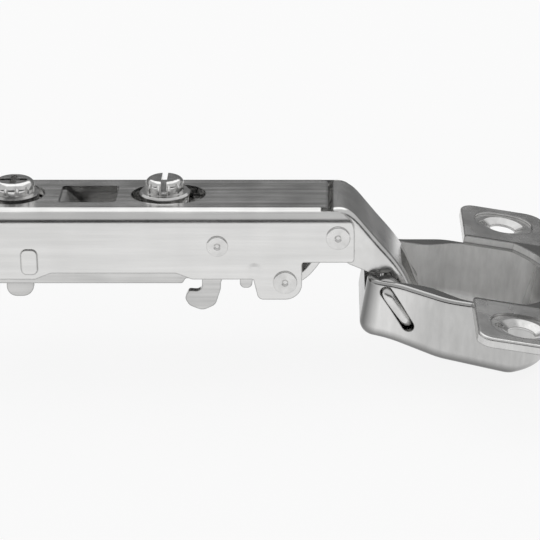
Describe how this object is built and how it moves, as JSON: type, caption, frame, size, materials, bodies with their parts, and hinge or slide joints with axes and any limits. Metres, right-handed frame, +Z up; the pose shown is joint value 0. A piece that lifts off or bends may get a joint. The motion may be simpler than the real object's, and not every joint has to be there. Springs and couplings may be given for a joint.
{
  "type": "concealed cabinet hinge",
  "caption": "Clip-on concealed cabinet hinge, shown open: a cup with flat wings for the door, joined by two links to a long adjustable arm.",
  "frame": {"origin": "centre of the seat in the front hooks, on the middle plane", "axes": "+X along the arm to the cup, +Y across the hinge to its far side in the picture, +Z up from the mounting plate"},
  "size_m": [0.1035, 0.0586, 0.0303],
  "materials": {
    "arm_plating": "nickel plated steel sheet, satin",
    "cup_plating": "nickel plated steel, satin, deep drawn",
    "link_plating": "nickel plated steel sheet, satin",
    "channel_plating": "nickel plated steel sheet",
    "screw_plating": "nickel plated, turned",
    "rivet_steel": "nickel plated wire and rivets",
    "spring_steel": "spring wire"
  },
  "bodies": {
    "adjuster": {"adjuster_channel": "channel_plating", "side_screw_nut": "screw_plating", "lever_pin": "rivet_steel", "lever_spring": "spring_steel"},
    "tilt_slider": {"tilt_pin": "rivet_steel"},
    "arm": {"hinge_arm": "arm_plating", "outer_link_rivet": "rivet_steel", "inner_link_rivet": "rivet_steel", "closing_spring_near": "spring_steel", "closing_spring_far": "spring_steel"},
    "side_screw": {"side_screw": "screw_plating"},
    "depth_screw": {"depth_screw": "screw_plating"},
    "clip_lever": {"clip_lever": "channel_plating"},
    "outer_link": {"outer_link": "link_plating"},
    "inner_link": {"inner_link": "link_plating"},
    "cup": {"cup": "cup_plating", "cup_pin_staple": "rivet_steel"}
  },
  "joints": [
    {"name": "depth_slide", "type": "slide", "parent": "adjuster", "child": "tilt_slider", "axis": [1, 0, 0], "range_m": [-0.002, 0.0005]},
    {"name": "side_tilt", "type": "hinge", "parent": "tilt_slider", "child": "arm", "pos_m": [0.0037, 0, 0.0073], "axis": [0, -1, 0], "range_deg": [-2, 2]},
    {"name": "depth_screw_turn", "type": "hinge", "parent": "arm", "child": "depth_screw", "pos_m": [-0.0294, 0, 0.011], "axis": [0, 0, 1], "range_deg": [-120, 30]},
    {"name": "side_screw_turn", "type": "hinge", "parent": "adjuster", "child": "side_screw", "pos_m": [-0.005, 0, 0.011], "axis": [0, 0, 1], "range_deg": [-157, 157]},
    {"name": "lever_swing", "type": "hinge", "parent": "adjuster", "child": "clip_lever", "pos_m": [-0.034, 0, 0.004], "axis": [0, 1, 0], "range_deg": [0, 12], "stiffness_Nm_per_rad": 0.02, "springref_deg": -11.46},
    {"name": "outer_link_swing", "type": "hinge", "parent": "arm", "child": "outer_link", "pos_m": [0.023, 0, 0.0087], "axis": [0, -1, 0], "range_deg": [-24.6, 0]},
    {"name": "inner_link_swing", "type": "hinge", "parent": "arm", "child": "inner_link", "pos_m": [0.0145, 0, 0.0011], "axis": [0, -1, 0], "range_deg": [-56, 0]},
    {"name": "cup_fold", "type": "hinge", "parent": "outer_link", "child": "cup", "pos_m": [0.03417, 0, -0.00519], "axis": [0, -1, 0], "range_deg": [0, 124.03]}
  ],
  "couplings": [
    {"joint": "depth_screw_turn", "follows": "depth_slide", "rad_per_m": 1047},
    {"joint": "side_screw_turn", "follows": "side_tilt", "ratio": 78.1},
    {"joint": "outer_link_swing", "follows": "cup_fold", "ratio": -0.19777},
    {"joint": "inner_link_swing", "follows": "cup_fold", "ratio": -0.4511}
  ]
}
